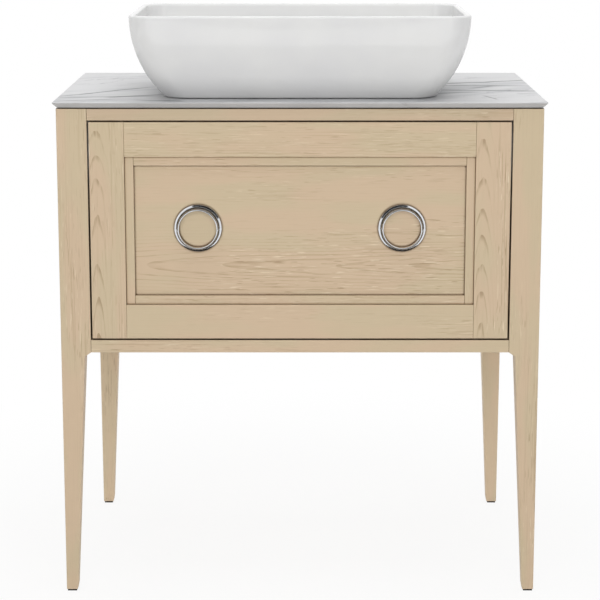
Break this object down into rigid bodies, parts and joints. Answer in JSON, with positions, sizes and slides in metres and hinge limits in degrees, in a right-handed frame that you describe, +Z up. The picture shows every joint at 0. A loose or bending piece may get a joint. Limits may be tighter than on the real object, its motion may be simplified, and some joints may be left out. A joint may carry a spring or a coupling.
{
  "type": "vanity unit",
  "caption": "Legged timber vanity with a wide inset framed drawer on ring pulls, a thin veined marble top and a rectangular vessel basin with push-plug waste.",
  "frame": {"origin": "on the floor at the middle of the bounding box", "axes": "+Z up; the front with the drawer faces -Y; +X to the right as seen from the front"},
  "size_m": [0.76, 0.484, 0.919],
  "materials": {
    "oak": "pale matt-lacquered oak with open grain",
    "box_board": "clear-lacquered birch plywood",
    "marble": "honed pale grey marble with grey veins",
    "ceramic": "gloss white glaze",
    "chrome": "polished",
    "zinc_steel": "bright zinc plate",
    "sealant": "black sealant bedding",
    "rubber": "matt black rubber",
    "nylon": "black nylon"
  },
  "bodies": {
    "cabinet": {"front_post_left": "oak", "front_post_right": "oak", "rear_leg_left": "oak", "rear_leg_right": "oak", "side_panel_left": "oak", "side_panel_right": "oak", "top_front_rail": "oak", "bottom_front_rail": "oak", "bottom_panel": "box_board", "low_back_rail": "box_board", "wall_rail": "box_board", "runner_packer_left": "box_board", "runner_packer_right": "box_board", "rail_dowels": "box_board", "marble_top": "marble", "basin": "ceramic", "waste_body": "chrome", "runner_fixed_left": "zinc_steel", "runner_fixed_right": "zinc_steel", "runner_screws": "zinc_steel", "top_bedding": "sealant", "basin_bedding": "sealant", "waste_seal_upper": "rubber", "waste_seal_lower": "rubber", "foot_glides": "nylon", "waste_nut": "nylon"},
    "drawer": {"drawer_stile_left": "oak", "drawer_stile_right": "oak", "drawer_rail_top": "oak", "drawer_rail_bottom": "oak", "drawer_panel": "oak", "bead_left": "oak", "bead_right": "oak", "bead_top": "oak", "bead_bottom": "oak", "ring_handle_left": "chrome", "ring_handle_right": "chrome", "handle_screws": "zinc_steel", "drawer_bottom": "box_board", "box_front": "box_board", "box_side_left": "box_board", "box_side_right": "box_board", "box_back_left": "box_board", "box_back_right": "box_board", "well_front": "box_board", "well_side_left": "box_board", "well_side_right": "box_board", "front_screws": "zinc_steel", "runner_drawer_left": "zinc_steel", "runner_drawer_right": "zinc_steel", "box_screws": "zinc_steel"},
    "runner_middle": {"runner_middle_left": "zinc_steel", "runner_middle_right": "zinc_steel"},
    "plug": {"waste_plug": "chrome", "plug_seal": "rubber"}
  },
  "joints": [
    {"name": "drawer_slide", "type": "slide", "parent": "cabinet", "child": "drawer", "axis": [0, -1, 0], "range_m": [0, 0.36]},
    {"name": "runner_middle_slide", "type": "slide", "parent": "cabinet", "child": "runner_middle", "axis": [0, -1, 0], "range_m": [0, 0.18]},
    {"name": "plug_lift", "type": "slide", "parent": "cabinet", "child": "plug", "axis": [0, 0, 1], "range_m": [0, 0.009]}
  ],
  "couplings": [
    {"joint": "runner_middle_slide", "follows": "drawer_slide", "ratio": 0.5}
  ]
}
